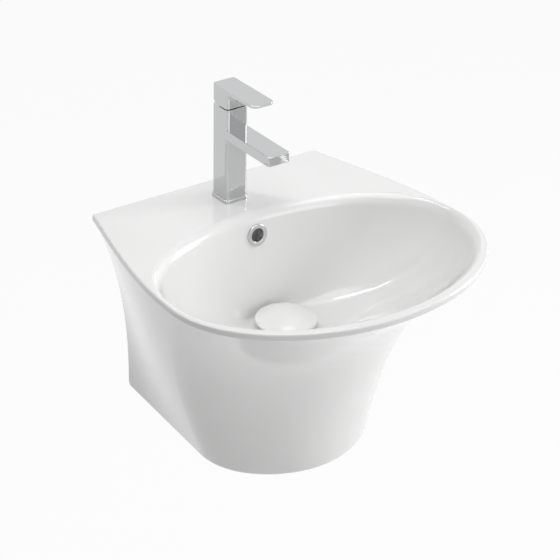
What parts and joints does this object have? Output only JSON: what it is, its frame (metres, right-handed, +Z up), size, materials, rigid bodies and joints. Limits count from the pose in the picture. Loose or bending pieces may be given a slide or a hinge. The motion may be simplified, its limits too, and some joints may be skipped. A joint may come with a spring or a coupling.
{
  "type": "wall hung basin",
  "caption": "Wall hung washbasin with a round front and a tapering one-piece shroud, a square single lever mixer tap, an overflow and a domed push waste.",
  "frame": {"origin": "on the wall plane, midway between the two wall bolts", "axes": "+X to the user's right along the wall when facing it, +Y into the wall, +Z up"},
  "size_m": [0.47, 0.516, 0.4786],
  "materials": {
    "white_glaze": "glossy white glaze",
    "tap_chrome": "polished chrome plate",
    "raw_brass": "turned brass",
    "zinc_steel": "zinc plated steel",
    "spring_steel": "drawn stainless wire",
    "white_plastic": "moulded acetal",
    "grey_plastic": "moulded plastic",
    "black_rubber": "moulded rubber",
    "index_plastic": "silver grey plug with a red and a blue dot"
  },
  "bodies": {
    "fixed": {"basin": "white_glaze", "overflow_ring": "tap_chrome", "wall_bolts": "zinc_steel", "bolt_bushes": "white_plastic", "bolt_washers": "zinc_steel", "bolt_nuts": "zinc_steel", "waste_body": "tap_chrome", "waste_top_seal": "black_rubber", "waste_bottom_seal": "black_rubber", "waste_back_nut": "raw_brass", "waste_guide": "grey_plastic", "waste_spring": "spring_steel", "tap_base_gasket": "black_rubber", "tap_base_plate": "tap_chrome", "tap_body": "tap_chrome", "aerator_housing": "tap_chrome", "aerator_insert": "grey_plastic", "cartridge_seals": "black_rubber", "cartridge_housing": "white_plastic", "cartridge_nut": "raw_brass", "tap_stud": "raw_brass", "horseshoe_rubber": "black_rubber", "horseshoe_plate": "zinc_steel", "stud_nut": "raw_brass"},
    "swivel": {"cartridge_rotor": "grey_plastic", "cartridge_pin": "spring_steel"},
    "lever": {"cartridge_stem": "raw_brass", "tap_lever": "tap_chrome", "lever_grub_screw": "spring_steel", "index_plug": "index_plastic"},
    "push_cap": {"waste_stem": "raw_brass", "waste_cap": "white_glaze", "waste_cap_seal": "black_rubber"}
  },
  "joints": [
    {"name": "tap_swivel", "type": "hinge", "parent": "fixed", "child": "swivel", "pos_m": [0, -0.0557, 0.2235], "axis": [0, 0, 1], "range_deg": [-45, 45]},
    {"name": "tap_tilt", "type": "hinge", "parent": "swivel", "child": "lever", "pos_m": [0, -0.0527, 0.2235], "axis": [-1, 0, 0], "range_deg": [0, 20]},
    {"name": "waste_push", "type": "slide", "parent": "fixed", "child": "push_cap", "axis": [0, 0, 1], "range_m": [-0.008, 0], "stiffness_N_per_m": 400, "springref_m": 0.005, "deforming": ["waste_spring"]}
  ]
}
